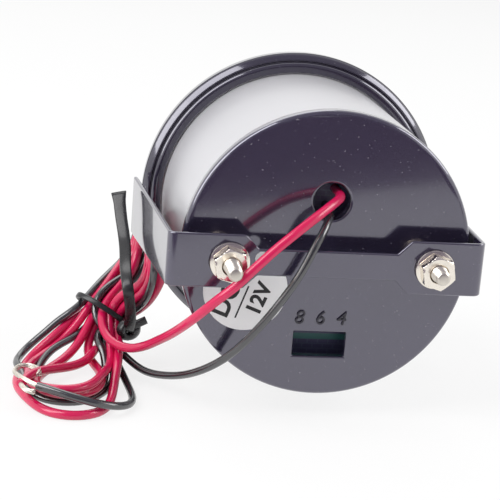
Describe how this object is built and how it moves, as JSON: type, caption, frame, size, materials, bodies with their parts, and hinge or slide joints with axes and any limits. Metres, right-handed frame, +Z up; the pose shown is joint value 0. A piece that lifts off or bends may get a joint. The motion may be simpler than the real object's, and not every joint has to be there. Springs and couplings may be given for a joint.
{
  "type": "panel voltmeter gauge",
  "caption": "Round dash voltmeter with a bezel, bright can, sweeping pointer, crossed-coil movement, clamp bracket on studs and a tied pair of supply leads.",
  "frame": {"origin": "On the gauge's axis, in the plane of the bezel's rear face that seats on the panel.", "axes": "+Y points back through the panel to the studs, the dial faces -Y, +Z is up and +X is the side that the leads are tied on."},
  "size_m": [0.0838, 0.0595, 0.06],
  "materials": {
    "bezel_black": "gloss black",
    "lens_glass": "clear",
    "gasket_rubber": "matt black",
    "inner_black": "matt black",
    "dial_white": "matt print",
    "pointer_orange": "satin orange",
    "bright_steel": "bright turned",
    "magnet_ferrite": "dark grey sintered",
    "bobbin_nylon": "natural moulded",
    "coil_copper": "enamelled copper wire",
    "shield_steel": "drawn steel",
    "pin_brass": "tinned brass",
    "solder": "bright solder",
    "chamber_white": "white moulded",
    "board_green": "green varnished laminate",
    "lamp_clear": "clear moulded",
    "part_black": "black moulded",
    "capacitor_sleeve": "bright can",
    "resistor_ceramic": "dark glazed chip",
    "can_metal": "bright polished sheet",
    "cover_black": "gloss black moulded",
    "sticker_paper": "white paper",
    "nickel": "nickel plate",
    "bracket_black": "gloss black plate",
    "wire_red": "satin crimson sleeve",
    "wire_black": "satin black sleeve",
    "wire_pair": "red and black sleeves together",
    "tie_black": "satin black strip",
    "tinned": "tinned strands"
  },
  "bodies": {
    "case": {"bezel": "bezel_black", "lens": "lens_glass", "lens_gasket": "gasket_rubber", "dial_ring": "inner_black", "dial_face": "dial_white", "dial_screws": "bright_steel", "stop_pins": "bright_steel", "bobbin_front": "bobbin_nylon", "bobbin_rear": "bobbin_nylon", "coil_sine": "coil_copper", "coil_cosine": "coil_copper", "shield_cup": "shield_steel", "movement_pins": "pin_brass", "solder_joints": "solder", "light_chamber": "chamber_white", "circuit_board": "board_green", "led_lamps": "lamp_clear", "driver_chip": "part_black", "capacitor": "capacitor_sleeve", "resistors": "resistor_ceramic", "diode": "part_black", "can": "can_metal", "rear_cover": "cover_black", "sticker": "sticker_paper", "studs": "nickel", "cover_nuts": "nickel", "bracket": "bracket_black", "bracket_washers": "nickel", "bracket_nuts": "nickel", "red_lead": "wire_red", "black_lead": "wire_black", "wire_hank": "wire_pair", "twist_tie": "tie_black", "red_wire_end": "tinned", "black_wire_end": "tinned"},
    "movement": {"pointer": "pointer_orange", "pointer_cap": "inner_black", "spindle": "bright_steel", "rotor_magnet": "magnet_ferrite"}
  },
  "joints": [
    {"name": "pointer_sweep", "type": "hinge", "parent": "case", "child": "movement", "pos_m": [0, 0, 0], "axis": [0, 1, 0], "range_deg": [0, 240]}
  ]
}
